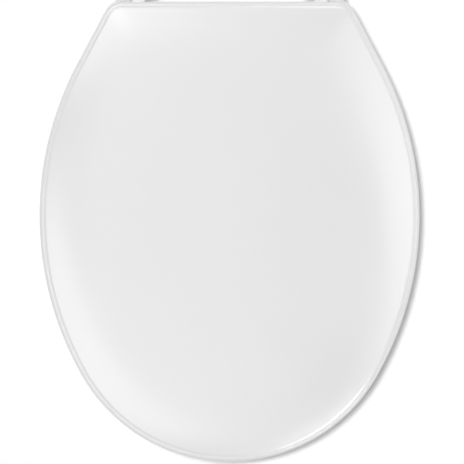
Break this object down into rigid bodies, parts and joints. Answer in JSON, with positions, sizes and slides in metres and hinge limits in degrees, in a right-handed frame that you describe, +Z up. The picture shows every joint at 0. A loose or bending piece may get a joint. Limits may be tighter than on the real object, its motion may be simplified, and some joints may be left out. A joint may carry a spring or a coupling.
{
  "type": "toilet seat",
  "caption": "Oval toilet seat with a softly crowned lid and an open ring, both hinged at the rear on posts that bolt to the bowl.",
  "frame": {"origin": "midway between the two fixing bolts, on the rim of the bowl that the hinge posts stand on", "axes": "+X to the right as seen from the front, +Y from the front tip to the hinges, +Z up"},
  "size_m": [0.37, 0.4769, 0.1026],
  "materials": {
    "lid": "gloss",
    "ring": "gloss",
    "hinge": "gloss",
    "buffer": "soft matt",
    "gasket": "soft matt",
    "rubber": "matt",
    "bolt": "satin",
    "nut": "satin"
  },
  "bodies": {
    "base": {"hinge_post_left": "hinge", "hinge_post_right": "hinge", "hinge_pin_left": "hinge", "hinge_pin_right": "hinge", "post_gasket_left": "gasket", "post_gasket_right": "gasket", "fixing_bolt_left": "bolt", "fixing_bolt_right": "bolt", "rubber_washer_left": "rubber", "rubber_washer_right": "rubber", "plain_washer_left": "nut", "plain_washer_right": "nut", "wing_nut_left": "nut", "wing_nut_right": "nut"},
    "ring": {"seat_ring": "ring", "seat_buffer_front_left": "buffer", "seat_buffer_front_right": "buffer", "seat_buffer_rear_left": "buffer", "seat_buffer_rear_right": "buffer"},
    "lid": {"lid": "lid", "lid_buffer_left": "buffer", "lid_buffer_right": "buffer"}
  },
  "joints": [
    {"name": "ring_lift", "type": "hinge", "parent": "base", "child": "ring", "pos_m": [0, 0.004, 0.022], "axis": [-1, 0, 0], "range_deg": [0, 95]},
    {"name": "lid_lift", "type": "hinge", "parent": "ring", "child": "lid", "pos_m": [0, 0.004, 0.022], "axis": [-1, 0, 0], "range_deg": [0, 100]}
  ]
}
